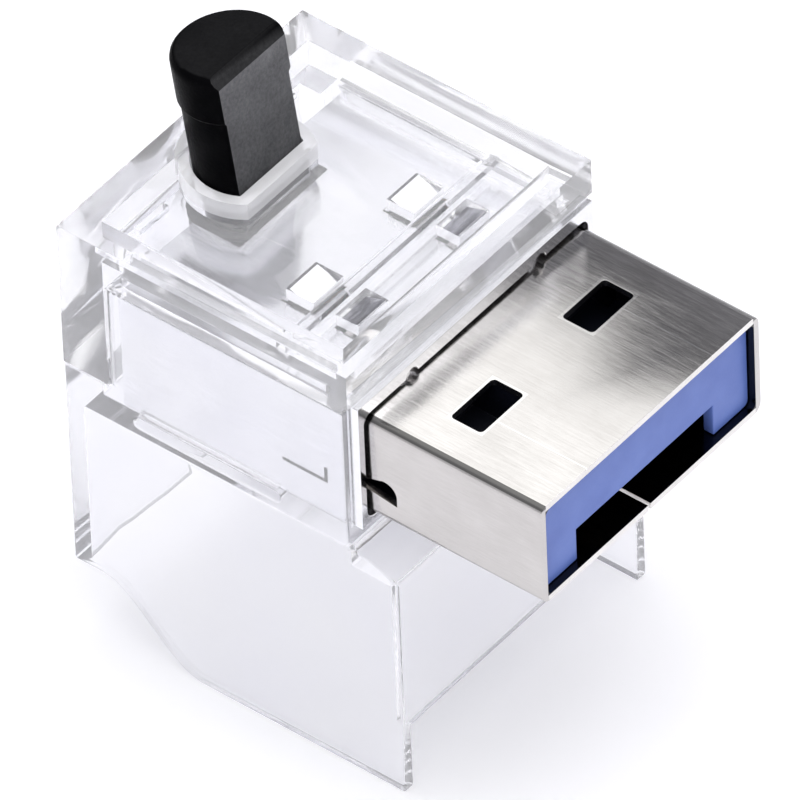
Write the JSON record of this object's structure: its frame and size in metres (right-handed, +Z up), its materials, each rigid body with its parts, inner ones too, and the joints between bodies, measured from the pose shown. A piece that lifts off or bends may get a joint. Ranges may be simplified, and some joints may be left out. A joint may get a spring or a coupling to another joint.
{
  "type": "usb plug module with push button",
  "caption": "Clear-cased USB plug module on an open skirt, with a steel shield inside and a black D-section push button on top.",
  "frame": {"origin": "centre of the object's footprint box, on the surface the feet stand on", "axes": "+X the way the plug points, +Y across the plug, +Z up"},
  "size_m": [0.0204, 0.0134, 0.0234],
  "materials": {
    "clear_plastic": "clear polished polycarbonate",
    "shield_steel": "fine brushed tinned steel",
    "plug_steel": "nickel-plated, lightly brushed",
    "blue_plastic": "moulded blue plastic",
    "gold_plating": "gold plating",
    "button_plastic": "satin black moulded plastic",
    "black_plastic": "matte black moulding compound",
    "board_laminate": "green solder mask",
    "capacitor_ceramic": "fired ceramic",
    "white_plastic": "white moulded plastic"
  },
  "bodies": {
    "housing": {"clear_lower_body": "clear_plastic", "clear_top_cover": "clear_plastic", "steel_shield": "shield_steel", "mouth_frame": "shield_steel", "plug_shell": "plug_steel", "blue_tongue": "blue_plastic", "usb2_contact_1": "gold_plating", "usb2_contact_2": "gold_plating", "usb2_contact_3": "gold_plating", "usb2_contact_4": "gold_plating", "superspeed_contact_1": "gold_plating", "superspeed_contact_2": "gold_plating", "superspeed_contact_3": "gold_plating", "superspeed_contact_4": "gold_plating", "superspeed_contact_5": "gold_plating", "contact_spacer": "black_plastic", "circuit_board": "board_laminate", "microcontroller": "black_plastic", "flash_chip": "black_plastic", "crystal": "shield_steel", "voltage_regulator": "black_plastic", "indicator_led": "white_plastic", "capacitor_1": "capacitor_ceramic", "capacitor_2": "capacitor_ceramic", "capacitor_3": "capacitor_ceramic", "resistor_1": "black_plastic", "resistor_2": "black_plastic", "resistor_3": "black_plastic", "switch_body": "shield_steel", "return_spring": "shield_steel"},
    "button": {"push_button": "button_plastic", "button_retainer": "black_plastic"},
    "switch": {"switch_plunger": "black_plastic"}
  },
  "joints": [
    {"name": "button_press", "type": "slide", "parent": "housing", "child": "button", "axis": [0.1392, 0, -0.9903], "range_m": [0, 0.0007], "stiffness_N_per_m": 250, "springref_m": -0.003, "deforming": ["return_spring"]},
    {"name": "plunger_press", "type": "slide", "parent": "housing", "child": "switch", "axis": [0, 0, -1], "range_m": [0, 0.0007]}
  ],
  "couplings": [
    {"joint": "plunger_press", "follows": "button_press", "ratio": 0.99027}
  ]
}
